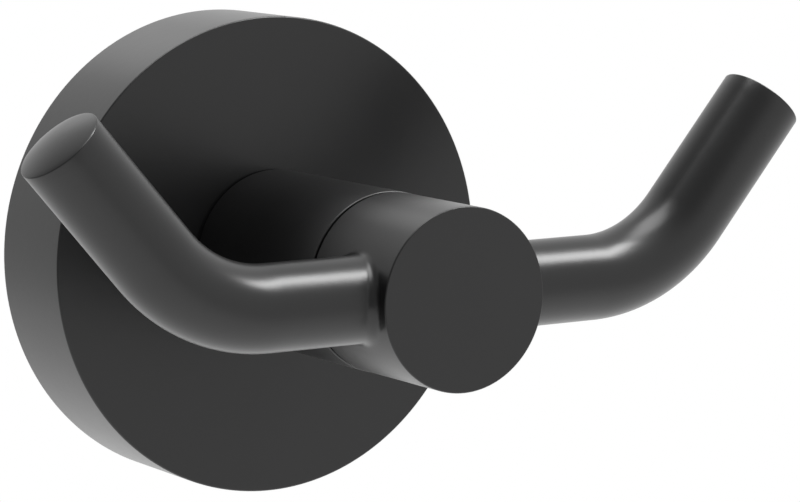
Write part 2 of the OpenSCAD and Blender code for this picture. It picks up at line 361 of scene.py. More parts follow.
def closed_mesh(bm, name):
    """Welds a mesh, turns its faces outwards and shades it smooth apart from its crisp edges."""
    bmesh.ops.remove_doubles(bm, verts=bm.verts, dist=WELD)
    bmesh.ops.recalc_face_normals(bm, faces=bm.faces)
    for face in bm.faces:
        face.smooth = True
    for edge in bm.edges:
        edge.smooth = edge.calc_face_angle(0) < CRISP_ANGLE
    if any(not edge.is_manifold for edge in bm.edges):
        raise RuntimeError(f"{name} isn't closed")
    mesh = bpy.data.meshes.new(name)
    bm.to_mesh(mesh)
    bm.free()
    return mesh


def carved(mesh, cuts, edge=0.0):
    """A mesh after exact booleans, each an operation and the mesh that does it, with its
    crisp edges softened."""
    blank = bpy.data.objects.new(mesh.name, mesh)
    scene_objects = bpy.context.scene.collection.objects
    scene_objects.link(blank)
    helpers = []
    for operation, helper_mesh in cuts:
        helper = bpy.data.objects.new(helper_mesh.name, helper_mesh)
        scene_objects.link(helper)
        helpers.append(helper)
        modifier = blank.modifiers.new(helper.name, "BOOLEAN")
        modifier.operation = operation
        modifier.solver = "EXACT"
        modifier.object = helper
    if edge:
        softened = blank.modifiers.new("Soft edges", "BEVEL")
        softened.width = edge
        softened.segments = 2
        softened.limit_method = "ANGLE"
        softened.angle_limit = CRISP_ANGLE
    evaluated = blank.evaluated_get(bpy.context.evaluated_depsgraph_get())
    bm = bmesh.new()
    bm.from_mesh(bpy.data.meshes.new_from_object(evaluated))
    for obj in (blank, *helpers):
        bpy.data.objects.remove(obj)
    return closed_mesh(bm, mesh.name)


def turned_mesh(name, section, sides, closed=False):
    """A turned piece on its own axis, which is +Z."""
    bm = bmesh.new()
    add_rings(bm, turned_rings(section, sides, closed))
    return closed_mesh(bm, name)


def hex_cutter(name, width, depth, reach):
    """A hexagon key's shape from below z = 0 up to a depth, with the drill's shallow cone on it."""
    radius = width / math.sqrt(3)
    section = [(0.0, -reach), (radius, -reach), (radius, depth), (0.0, depth + radius / 3)]
    return turned_mesh(name, section, 6)


def finish_of(slot):
    """The material of a slot, which has been made already."""
    material = bpy.data.materials.get(FINISHES[slot])
    if material is None:
        raise RuntimeError(f"make the finishes first: {FINISHES[slot]} is missing")
    return material


def shown_piece(name, mesh, slot, *nodes):
    """Puts a finished mesh in the scene, in the place of its CAD nodes."""
    obj = bpy.data.objects.new(name, mesh)
    bpy.context.scene.collection.objects.link(obj)
    mesh.materials.clear()
    mesh.materials.append(finish_of(slot))
    flat_faces = obj.modifiers.new("Flat faces", "WEIGHTED_NORMAL")
    flat_faces.keep_sharp = True
    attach(obj, BODY)
    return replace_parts(obj, *nodes)


def add_node(tree, kind, **settings):
    """A node with its settings."""
    node = tree.nodes.new(kind)
    for name, value in settings.items():
        setattr(node, name, value)
    return node


def feed(tree, socket, value):
    """Links an output into a socket, or sets the socket's own value."""
    if isinstance(value, bpy.types.NodeSocket):
        tree.links.new(value, socket)
    else:
        socket.default_value = value


def fed_node(tree, kind, values, **settings):
    """The outputs of a node with its settings, and with values for its sockets."""
    node = add_node(tree, kind, **settings)
    for socket, value in values.items():
        feed(tree, node.inputs[socket], value)
    return node.outputs


def calculate(tree, operation, *values):
    """The output of a Math node."""
    return fed_node(tree, "ShaderNodeMath", dict(enumerate(values)), operation=operation)[0]


def remapped(tree, value, span, new_low, new_high):
    """A value taken from one range to another, and kept inside it."""
    values = (value, *span, new_low, new_high)
    return fed_node(tree, "ShaderNodeMapRange", dict(enumerate(values)))[0]


def rays_of(tree, *kinds):
    """1 on rays of the given kinds, and 0 on all others."""
    path = add_node(tree, "ShaderNodeLightPath").outputs
    found = 0.0
    for kind in kinds:
        found = calculate(tree, "MAXIMUM", found, path[f"Is {kind} Ray"])
    return found


def new_group(kind, name, inputs, outputs):
    """An empty node group, what it is given and what it has made. The labels of its sockets
    are listed under their type."""
    group = bpy.data.node_groups.new(name, kind)
    for in_out, sockets in (("INPUT", inputs), ("OUTPUT", outputs)):
        for type_name, labels in sockets.items():
            for label in labels:
                group.interface.new_socket(label, in_out=in_out, socket_type=f"NodeSocket{type_name}")
    return group, add_node(group, "NodeGroupInput").outputs, add_node(group, "NodeGroupOutput").inputs


def bent_bar_tree():
    """Geometry nodes that bend straight stations round a former and sweep a round bar along them."""
    tree, given, made = new_group(
        "GeometryNodeTree", "Bent Bar",
        {
            "Geometry": ["Stations"], "Float": ["Straight", "Bend Radius", "Bend Angle", "Axis Place"],
            "Int": ["Sides", "Arms"], "Material": ["Material"],
        },
        {"Geometry": ["Arms"]},
    )
    work = partial(calculate, tree)
    node = partial(fed_node, tree)
    straight, bend_r = given["Straight"], given["Bend Radius"]

    # The distance along the bar says how far it has turned, and what is left past the bend
    along = node("ShaderNodeSeparateXYZ", {0: node("GeometryNodeInputPosition", {})[0]})["X"]
    past_start = work("MAXIMUM", work("SUBTRACT", along, straight), 0.0)
    bend_length = work("MULTIPLY", bend_r, given["Bend Angle"])
    turned = work("DIVIDE", work("MINIMUM", past_start, bend_length), bend_r)
    beyond = work("MAXIMUM", work("SUBTRACT", past_start, bend_length), 0.0)
    sine = work("SINE", turned)
    cosine = work("COSINE", turned)
    out = work("MULTIPLY_ADD", bend_r, sine, work("MINIMUM", along, straight))
    up = work("MULTIPLY", bend_r, work("SUBTRACT", 1.0, cosine))
    bent = node("ShaderNodeCombineXYZ", {
        "X": work("MULTIPLY_ADD", beyond, cosine, out), "Z": work("MULTIPLY_ADD", beyond, sine, up),
    })[0]
    moved = node("GeometryNodeSetPosition", {"Geometry": given["Stations"], "Position": bent})[0]

    # A round section is swept along the bent line, at the radius stored on each station
    line = node("GeometryNodeMeshToCurve", {"Mesh": moved})[0]
    section = node("GeometryNodeCurvePrimitiveCircle", {"Resolution": given["Sides"], "Radius": 1.0})[0]
    station_r = node("GeometryNodeInputNamedAttribute", {"Name": "station_radius"}, data_type="FLOAT")
    swept = node("GeometryNodeCurveToMesh", {
        "Curve": line, "Profile Curve": section, "Scale": station_r["Attribute"],
    })[0]

    # The arms stand round a vertical axis, half a turn apart
    axis = node("ShaderNodeCombineXYZ", {"Y": given["Axis Place"]})[0]
    points = node("GeometryNodePoints", {"Count": given["Arms"], "Position": axis})[0]
    index = node("GeometryNodeInputIndex", {})[0]
    turn = work("MULTIPLY", index, work("DIVIDE", FULL_TURN, given["Arms"]))
    heading = node("ShaderNodeCombineXYZ", {"Z": turn})[0]
    copies = node("GeometryNodeInstanceOnPoints", {
        "Points": points, "Instance": swept, "Rotation": heading,
    })[0]
    real = node("GeometryNodeRealizeInstances", {0: copies})[0]
    coated = node("GeometryNodeSetMaterial", {"Geometry": real, "Material": given["Material"]})[0]
    feed(tree, made["Arms"], coated)
    return tree


def screw_thread_tree():
    """Geometry nodes that sink a V thread into the side of a turned blank on the Z axis."""
    tree, given, made = new_group(
        "GeometryNodeTree", "Screw Thread",
        {"Geometry": ["Blank"], "Float": ["Pitch", "Start", "Side Radius"], "Material": ["Material"]},
        {"Geometry": ["Threaded"]},
    )
    work = partial(calculate, tree)
    node = partial(fed_node, tree)
    pitch = given["Pitch"]
    place = node("ShaderNodeSeparateXYZ", {0: node("GeometryNodeInputPosition", {})[0]})
    across = node("ShaderNodeCombineXYZ", {"X": place["X"], "Y": place["Y"]})[0]
    radius = node("ShaderNodeVectorMath", {0: across}, operation="LENGTH")["Value"]

    # The groove climbs one pitch for each turn
    turn = work("DIVIDE", work("ARCTAN2", place["Y"], place["X"]), FULL_TURN)
    climbed = work("DIVIDE", work("SUBTRACT", place["Z"], given["Start"]), pitch)
    phase = work("FRACT", work("SUBTRACT", climbed, turn))
    slope = work("ABSOLUTE", work("MULTIPLY_ADD", phase, 2.0, -1.0))
    groove = remapped(tree, slope, (1.0 - THREAD_CREST, THREAD_ROOT), 0.0, THREAD_DEPTH)
    # It runs in over the first turn, and the head below it stays as it is
    run_in = work("MINIMUM", work("MAXIMUM", climbed, 0.0), 1.0)
    depth = work("MULTIPLY", work("MULTIPLY", groove, run_in), pitch)
    kept = work("MAXIMUM", work("SUBTRACT", radius, depth), 0.0)
    scale = work("DIVIDE", kept, work("MAXIMUM", radius, WELD))
    sunk = node("ShaderNodeVectorMath", {0: across, "Scale": scale}, operation="SCALE")[0]
    lifted = node("ShaderNodeCombineXYZ", {"Z": place["Z"]})[0]
    target = node("ShaderNodeVectorMath", {0: sunk, 1: lifted}, operation="ADD")[0]
    # Only the side carries the thread, so the flat end and the cup are left alone
    side = node(
        "FunctionNodeCompare", {0: radius, 1: given["Side Radius"]},
        data_type="FLOAT", operation="GREATER_THAN",
    )[0]
    moved = node("GeometryNodeSetPosition", {
        "Geometry": given["Blank"], "Selection": side, "Position": target,
    })[0]
    real = node("GeometryNodeRealizeInstances", {0: moved})[0]
    plated = node("GeometryNodeSetMaterial", {"Geometry": real, "Material": given["Material"]})[0]
    feed(tree, made["Threaded"], plated)
    return tree


def made_by_nodes(source, tree, values):
    """The plain mesh that a geometry node tree makes from a source mesh."""
    obj = bpy.data.objects.new(tree.name, source)
    bpy.context.scene.collection.objects.link(obj)
    modifier = obj.modifiers.new(tree.name, "NODES")
    modifier.node_group = tree
    for item in tree.interface.items_tree:
        if item.in_out == "INPUT" and item.name in values:
            modifier[item.identifier] = values[item.name]
    depsgraph = bpy.context.evaluated_depsgraph_get()
    mesh = bpy.data.meshes.new_from_object(obj.evaluated_get(depsgraph))
    obj.modifiers.remove(modifier)
    bpy.data.objects.remove(obj)
    return mesh


def arm_stations(sizes, start):
    """Straight stations along an arm, as a mesh line with the arm's radius stored on each."""
    bend_end = sizes.straight + sizes.bend_r * sizes.bend_angle
    end = bend_end + sizes.tip
    rim_r = sizes.radius - sizes.edge
    dome_r = (rim_r ** 2 + sizes.dome ** 2) / (2 * sizes.dome)
    dome = (0.0, end - dome_r)
    rim_angle = math.acos(rim_r / (dome_r - sizes.edge))
    rim = (rim_r, dome[1] + (dome_r - sizes.edge) * math.sin(rim_angle))
    stations = [(along, sizes.radius) for along in spread(start, sizes.straight, 6)[:-1]]
    stations += [(along, sizes.radius) for along in spread(sizes.straight, bend_end, 40)[:-1]]
    stations += [(along, sizes.radius) for along in spread(bend_end, rim[1], 12)[:-1]]
    section = arc(rim, sizes.edge, 0.0, rim_angle, 5)[:-1]
    section += arc(dome, dome_r, rim_angle, RIGHT_ANGLE, 8)[:-1]
    stations += [(along, radius) for radius, along in section]
    stations.append((end, 0.0))
    mesh = bpy.data.meshes.new("Arm stations")
    mesh.from_pydata(
        [(along, 0.0, 0.0) for along, _ in stations],
        [(k, k + 1) for k in range(len(stations) - 1)],
        [],
    )
    radius = mesh.attributes.new("station_radius", "FLOAT", "POINT")
    radius.data.foreach_set("value", [r for _, r in stations])
    return mesh


def rolling_ball(arm_r, head_r, fillet, angle):
    """Centre of the fillet's ball at an angle round the arm, and the directions from it to the
    arm and to the head. The arm lies along +X from the origin, and the head along Y."""
    a = arm_r + fillet
    b = head_r + fillet
    y = a * math.cos(angle)
    z = a * math.sin(angle)
    x = math.sqrt(b * b - z * z)
    to_arm = Vector((0.0, -math.cos(angle), -math.sin(angle)))
    to_head = Vector((-x / b, 0.0, -z / b))
    return Vector((x, y, z)), to_arm, to_head


def root_rings(arms, head_r, arm_start):
    """Rings of points from the head's side over the fillet and on along the arm."""
    balls = []
    for k in range(arms.sides):
        balls.append(rolling_ball(arms.radius, head_r, arms.fillet, FULL_TURN * k / arms.sides))
    rings = []
    for part in spread(0.0, 1.0, FILLET_STEPS):
        ring = []
        for centre, to_arm, to_head in balls:
            ring.append(centre + arms.fillet * to_head.slerp(to_arm, part))
        rings.append(ring)
    fillet_end = rings[-1]
    for part in spread(0.0, 1.0, LEAD_STEPS)[1:]:
        rings.append([Vector((p.x + (arm_start - p.x) * part, p.y, p.z)) for p in fillet_end])
    return rings


def head_side_rings(root_ring, head_r, front_y, rear_y):
    """Rings of points on half of the head's side, from an arm's root out to the half's border."""
    sides = len(root_ring)
    across = sides // 16
    border = []
    for low, high, steps, at_rear in (
        (0.0, RIGHT_ANGLE, 3 * across, True), (rear_y, front_y, 2 * across, None),
        (RIGHT_ANGLE, -RIGHT_ANGLE, 6 * across, False), (front_y, rear_y, 2 * across, None),
        (-RIGHT_ANGLE, 0.0, 3 * across, True),
    ):
        for value in spread(low, high, steps)[:-1]:
            if at_rear is None:
                border.append((RIGHT_ANGLE if low == rear_y else -RIGHT_ANGLE, value))
            else:
                border.append((value, rear_y if at_rear else front_y))
    rings = []
    for part in spread(0.0, 1.0, HEAD_STEPS):
        ring = []
        for point, (angle, y) in zip(root_ring, border):
            own = math.asin(point.z / head_r)
            mixed = own + (angle - own) * part
            ring.append(Vector((
                head_r * math.cos(mixed), point.y + (y - point.y) * part, head_r * math.sin(mixed)
            )))
        rings.append(ring)
    return rings


def mirrored(rings):
    """The same rings on the other side of the plane x = 0."""
    return [[Vector((-p.x, p.y, p.z)) for p in ring] for ring in rings]


def noise(tree, vector, size, detail):
    """Noise with features of about a given size."""
    values = {"Vector": vector, "Scale": calculate(tree, "DIVIDE", 1.0, size), "Detail": detail}
    return fed_node(tree, "ShaderNodeTexNoise", values)["Fac"]


def blended(tree, factor, first, second):
    """A colour between two colours."""
    values = {"Factor": factor, "A": first, "B": second}
    return fed_node(tree, "ShaderNodeMix", values, data_type="RGBA")["Result"]


def surface_texture_group():
    """Fine grain on a soft ripple, and a slow drift in tone."""
    group, given, made = new_group(
        "ShaderNodeTree", "Surface Texture",
        {"Vector": ["Vector"], "Float": ["Grain", "Ripple", "Drift"]}, {"Float": ["Height", "Tone"]},
    )
    grain = noise(group, given["Vector"], given["Grain"], 1.0)
    ripple = noise(group, given["Vector"], given["Ripple"], 2.0)
    fine = calculate(group, "MULTIPLY", grain, 0.3)
    feed(group, made["Height"], calculate(group, "MULTIPLY_ADD", ripple, 0.7, fine))
    drift = noise(group, given["Vector"], given["Drift"], 3.0)
    feed(group, made["Tone"], remapped(group, drift, NOISE_SPAN, 0.0, 1.0))
    return group


def edge_wear_and_highlight_group():
    """A mask that is one along the outer and inner edges, broken up by patches. It lays real wear on the
    zinc and the oxide, and a painted edge highlight on the coat.
    """
    group, given, made = new_group(
        "ShaderNodeTree", "Edge Wear",
        {"Vector": ["Vector"], "Float": ["Radius", "Patch", "Amount"]}, {"Float": ["Mask"]},
    )
    rounded = fed_node(group, "ShaderNodeBevel", {"Radius": given["Radius"]}, samples=6)[0]
    normal = add_node(group, "ShaderNodeNewGeometry").outputs["Normal"]
    facing = fed_node(group, "ShaderNodeVectorMath", {0: rounded, 1: normal}, operation="DOT_PRODUCT")
    edge = remapped(group, facing["Value"], EDGE_SPAN, 0.0, 1.0)
    patches = remapped(
        group, noise(group, given["Vector"], given["Patch"], 3.0), PATCH_SPAN, PATCH_LEAST, 1.0
    )
    mask = calculate(group, "MULTIPLY", edge, patches)
    feed(group, made["Mask"], calculate(group, "MULTIPLY", mask, given["Amount"]))
    return group


def drawn_lines_group():
    """Fine lines along one direction, as rolling and drawing leave on steel."""
    group, given, made = new_group(
        "ShaderNodeTree", "Drawn Lines",
        {"Vector": ["Vector", "Stretch"], "Float": ["Width"]}, {"Float": ["Lines"]},
    )
    stretched = fed_node(
        group, "ShaderNodeVectorMath", {0: given["Vector"], 1: given["Stretch"]}, operation="MULTIPLY"
    )[0]
    feed(group, made["Lines"], noise(group, stretched, given["Width"], 4.0))
    return group


def placed_group(tree, name, make, **values):
    """A shared effect placed in a material with its own values. It is made at its first use."""
    group = bpy.data.node_groups.get(name) or make()
    return fed_node(tree, "ShaderNodeGroup", values, node_tree=group)


def start_finish(name, metallic, tones, surface, wear_and_highlight):
    """A material whose base colour drifts between two tones and shows a third along the edges,
    with its tree, its shader, its object coordinates and its surface texture."""
    material = bpy.data.materials.new(name)
    material.use_nodes = True
    tree = material.node_tree
    shader = tree.nodes["Principled BSDF"]
    shader.inputs["Metallic"].default_value = metallic
    place = add_node(tree, "ShaderNodeTexCoord").outputs["Object"]
    texture = placed_group(tree, "Surface Texture", surface_texture_group, Vector=place, **surface)
    # The third tone along the edges is real wear on the zinc and the oxide, and a painted highlight on
    # the coat
    edges = placed_group(tree, "Edge Wear", edge_wear_and_highlight_group, Vector=place, **wear_and_highlight)
    main, drifted, wear_and_highlight_tone = ((*tone, 1.0) for tone in tones)
    tone = blended(tree, texture["Tone"], main, drifted)
    feed(tree, shader.inputs["Base Color"], blended(tree, edges["Mask"], tone, wear_and_highlight_tone))
    return tree, shader, place, texture


def feed_surface(tree, shader, pattern, low, high, height, depth):
    """Gives a shader a roughness that follows a pattern from a low value to a high one, and the
    relief of a height, of a depth in metres."""
    feed(tree, shader.inputs["Roughness"], remapped(tree, pattern, (0.0, 1.0), low, high))
    bump = fed_node(tree, "ShaderNodeBump", {"Height": height, "Distance": depth})[0]
    feed(tree, shader.inputs["Normal"], bump)


def make_coat(look):
    """Matt black powder coat with a soft sheen."""
    tree, shader, _, surface = start_finish(
        FINISHES["matte_black"], 0.0, (look.coat, look.coat_pale, look.coat_edge_highlight),
        {"Grain": look.grain, "Ripple": look.ripple, "Drift": 0.014},
        # The coat's paler edges are a painted highlight, standing in for the bright rims that light
        # draws on its rounded edges
        {"Radius": 0.0002, "Patch": 0.004, "Amount": 0.6},
    )
    rough = look.coat_roughness
    feed_surface(
        tree, shader, surface["Tone"], rough - 0.015, rough + 0.015, surface["Height"], 0.000008
    )


def make_zinc(look):
    """Bright zinc plating on rolled steel, with a faint tint in patches."""
    tree, shader, place, surface = start_finish(
        FINISHES["zinc_steel"], 1.0, (look.zinc, look.zinc_warm, look.zinc_worn),
        {"Grain": 0.0001, "Ripple": 0.0006, "Drift": 0.006},
        {"Radius": 0.0003, "Patch": 0.002, "Amount": 0.5},
    )
    lines = placed_group(
        tree, "Drawn Lines", drawn_lines_group, Vector=place, Stretch=(1.0, 1.0, 0.03), Width=0.00015
    )["Lines"]
    pattern = remapped(tree, lines, NOISE_SPAN, 0.0, 1.0)
    height = calculate(tree, "MULTIPLY_ADD", lines, 0.6, surface["Height"])
    rough = look.zinc_roughness
    feed_surface(tree, shader, pattern, rough - 0.06, rough + 0.08, height, 0.000005)


def make_oxide(look):
    """Black oxide on steel, rubbed through to bright steel on its edges."""
    tree, shader, _, surface = start_finish(
        FINISHES["black_steel"], 1.0, (look.oxide, look.oxide, look.oxide_worn),
        {"Grain": 0.00008, "Ripple": 0.0004, "Drift": 0.002},
        {"Radius": 0.00015, "Patch": 0.0008, "Amount": 0.8},
    )
    rough = look.oxide_roughness
    feed_surface(
        tree, shader, surface["Tone"], rough - 0.05, rough + 0.05, surface["Height"], 0.000004
    )

class ROBEHOOK_OT_finishes(bpy.types.Operator):
    """Make the materials: matt black coat, bright zinc and black oxide"""

    bl_idname = "robehook.finishes"
    bl_label = "Finishes"

    def execute(self, context):
        look = context.scene.robe_hook_finish
        make_coat(look)
        make_zinc(look)
        make_oxide(look)
        return {"FINISHED"}


class ROBEHOOK_OT_rose(bpy.types.Operator):
    """Turn the round rose as a cup, and drill the grub screw's hole under it"""

    bl_idname = "robehook.rose"
    bl_label = "Rose"

    def execute(self, context):
        post = context.scene.robe_hook_post
        inner_r = post.rose_r - post.rose_wall
        inner_face = post.rose_depth - post.rose_front
        corner = (inner_r - post.rose_corner, inner_face - post.rose_corner)
        edge = (post.rose_r - post.rose_edge, post.rose_depth - post.rose_edge)
        section = [(radius, inner_face) for radius in spread(post.pass_r, corner[0], 6)[:-1]]
        section += arc(corner, post.rose_corner, RIGHT_ANGLE, 0.0, 6)
        section += [(inner_r, y) for y in spread(corner[1], 0.0, 6)[1:]]
        section += [(post.rose_r, y) for y in spread(0.0, edge[1], 8)[:-1]]
        section += arc(edge, post.rose_edge, 0.0, RIGHT_ANGLE, 6)
        section += [(radius, post.rose_depth) for radius in spread(edge[0], post.pass_r, 8)[1:]]
        shell = turned_mesh("rose_shell", section, ROSE_SIDES, closed=True)
        shell.transform(OUT_OF_WALL)
        outline = arc((0.0, 0.0), post.grub_hole_r, 0.0, FULL_TURN, HOLE_SIDES)[:-1]
        hole = [(x, y - post.grub_hole_y) for x, y in outline]
        drill = bmesh.new()
        add_prism(
            drill, hole, -post.rose_r - post.rose_wall, post.rose_wall / 2 - inner_r,
            lambda x, y, z: Vector((x, y, z)),
        )
        mesh = carved(shell, [("DIFFERENCE", closed_mesh(drill, "Grub drill"))])
        shown_piece("rose_shell", mesh, "matte_black", "rose")
        return {"FINISHED"}


class ROBEHOOK_OT_neck(bpy.types.Operator):
    """Turn the neck, with the fine gap at the rose and its rim at the seam"""

    bl_idname = "robehook.neck"
    bl_label = "Neck"

    def execute(self, context):
        post = context.scene.robe_hook_post
        foot_end = post.rose_depth + post.foot_w
        foot_r = post.neck_r - post.foot_depth
        edge = (post.neck_r - post.neck_edge, foot_end + post.neck_edge)
        section = [(post.pass_r, y) for y in spread(post.seam_at, post.rose_depth, 4)]
        section += [(foot_r, post.rose_depth), (foot_r, foot_end)]
        section += arc(edge, post.neck_edge, -RIGHT_ANGLE, 0.0, 4)
        rim = (post.neck_r - post.neck_rim, post.seam_at - post.neck_rim)
        section += [(post.neck_r, y) for y in spread(edge[1], rim[1], 12)[1:-1]]
        section += arc(rim, post.neck_rim, 0.0, RIGHT_ANGLE, 4)
        mesh = turned_mesh("neck_sleeve", section, NECK_SIDES, closed=True)
        mesh.transform(OUT_OF_WALL)
        shown_piece("neck_sleeve", mesh, "matte_black", "neck")
        return {"FINISHED"}


class ROBEHOOK_OT_hook_head(bpy.types.Operator):
    """Build the head and its two bent arms as one closed surface, with rolled root fillets"""

    bl_idname = "robehook.hook_head"
    bl_label = "Head with Arms"

    def execute(self, context):
        post = context.scene.robe_hook_post
        arms = context.scene.robe_hook_arms
        arm_y = arms.setback - post.head_front
        arm_start = post.head_r + 2 * arms.fillet
        bm = bmesh.new()
        values = {
            "Straight": arms.straight, "Bend Radius": arms.bend_r, "Bend Angle": arms.bend_angle,
            "Axis Place": arm_y, "Sides": arms.sides, "Arms": 2, "Material": finish_of("matte_black"),
        }
        bm.from_mesh(made_by_nodes(arm_stations(arms, arm_start), bent_bar_tree(), values))
        side_front = post.head_front - post.head_edge
        side_rear = post.seam_at + post.seam_w
        roots = root_rings(arms, post.head_r, arm_start)
        side = head_side_rings(roots[0], post.head_r, -side_front - arm_y, -side_rear - arm_y)
        for rings in (roots, side, mirrored(roots), mirrored(side)):
            add_rings(bm, [[point + Vector((0.0, arm_y, 0.0)) for point in ring] for ring in rings])
        front = arc((post.head_r - post.head_edge, side_front), post.head_edge, 0.0, RIGHT_ANGLE, 5)
        front.append((0.0, post.head_front))
        hole_end = post.seam_at + post.tapped_depth
        cone = post.tapped_r / math.tan(post.drill_point / 2)
        rear = [
            (post.head_r, side_rear), (post.head_r - post.seam_depth, side_rear),
            (post.head_r - post.seam_depth, post.seam_at), (post.tapped_r, post.seam_at),
            (post.tapped_r, hole_end), (0.0, hole_end + cone),
        ]
        for section in (front, rear):
            rings = turned_rings(section, 3 * arms.sides // 4)
            add_rings(bm, [[OUT_OF_WALL @ point for point in ring] for ring in rings])
        mesh = closed_mesh(bm, "head_with_arms")
        shown_piece("head_with_arms", mesh, "matte_black", "hook_head")
        return {"FINISHED"}


class ROBEHOOK_OT_wall_plate(bpy.types.Operator):
    """Fold the wall plate's steel strip, with its ears and its two slots"""

    bl_idname = "robehook.wall_plate"
    bl_label = "Wall Plate"

    def execute(self, context):
        fixing = context.scene.robe_hook_fixing
        margin = fixing.plate_t
        strip = bmesh.new()
        half_w = fixing.plate_w / 2
        add_prism(
            strip, self.strip_outline(fixing, margin), -half_w - margin, half_w + margin,
            lambda z, distance, x: Vector((x, -distance, z)),
        )
        ears = bmesh.new()
        add_prism(
            ears, self.ear_outline(fixing, margin),
            -fixing.ear_face - margin, fixing.ear_face + margin,
            lambda x, distance, z: Vector((x, -distance, z)),
        )
        cuts = [("INTERSECT", closed_mesh(ears, "Ear outline"))]
        for side in (-1, 1):
            slot = bmesh.new()
            add_prism(
                slot, self.slot_outline(fixing, side * fixing.slot_spacing / 2),
                -margin, fixing.plate_t + margin,
                lambda x, z, distance: Vector((x, -distance, z)),
            )
            cuts.append(("DIFFERENCE", closed_mesh(slot, "Slot")))
        mesh = carved(closed_mesh(strip, "folded_plate"), cuts, fixing.plate_edge)
        shown_piece("folded_plate", mesh, "zinc_steel", "wall_plate")
        return {"FINISHED"}

    def strip_outline(self, fixing, margin):
        """The strip's side view as (height, distance from the wall), with the ears overlong."""
        outer_r = fixing.fold_r + fixing.plate_t
        fold = (fixing.ear_face - outer_r, outer_r)
        top = fixing.ear_h + margin
        outer = [(fixing.ear_face, top)] + arc(fold, outer_r, 0.0, -RIGHT_ANGLE, 10)
        inner_face = fixing.ear_face - fixing.plate_t
        inner = [(inner_face, top)] + arc(fold, fixing.fold_r, 0.0, -RIGHT_ANGLE, 8)
        outline = outer + [(-z, distance) for z, distance in reversed(outer)]
        return outline + [(-z, distance) for z, distance in inner] + inner[::-1]

    def ear_outline(self, fixing, margin):
        """An ear seen from its end as (width, distance from the wall)."""
        half_w = fixing.plate_w / 2
        corner = (half_w - fixing.ear_corner, fixing.ear_h - fixing.ear_corner)
        right = [(half_w, -margin)] + arc(corner, fixing.ear_corner, 0.0, RIGHT_ANGLE, 12)
        return right + [(-x, distance) for x, distance in reversed(right)]

    def slot_outline(self, fixing, middle):
        """A slot as (width, height), round its middle."""
        radius = fixing.slot_w / 2
        straight = (fixing.slot_length - fixing.slot_w) / 2
        upper = arc((0.0, middle + straight), radius, 0.0, math.pi, 20)
        return upper + arc((0.0, middle - straight), radius, math.pi, FULL_TURN, 20)


class ROBEHOOK_OT_lock_washer(bpy.types.Operator):
    """Make the spring washer, with its slanted cut"""

    bl_idname = "robehook.lock_washer"
    bl_label = "Spring Washer"

    def execute(self, context):
        fixing = context.scene.robe_hook_fixing
        inner_r = context.scene.robe_hook_post.pass_r
        thickness = WASHER_HIGH.y - WASHER_LOW.y
        section = [
            (inner_r, 0.0), (fixing.washer_r, 0.0), (fixing.washer_r, thickness), (inner_r, thickness)
        ]
        ring = turned_mesh("spring_washer", section, WASHER_SIDES, closed=True)
        reach = 2 * fixing.washer_r
        cutter = bmesh.new()
        bmesh.ops.create_cube(cutter, size=1.0, matrix=(
            Matrix.Translation((fixing.washer_r, 0.0, thickness / 2))
            @ Matrix.Rotation(fixing.washer_slant, 4, "X")
            @ Matrix.Diagonal((reach, fixing.washer_cut, reach, 1.0))
        ))
        mesh = carved(ring, [("DIFFERENCE", closed_mesh(cutter, "Washer cut"))], fixing.plate_edge / 2)
        mesh.transform(Matrix.Translation((0.0, WASHER_HIGH.y, 0.0)) @ OUT_OF_WALL)
        shown_piece("spring_washer", mesh, "zinc_steel", "lock_washer")
        return {"FINISHED"}


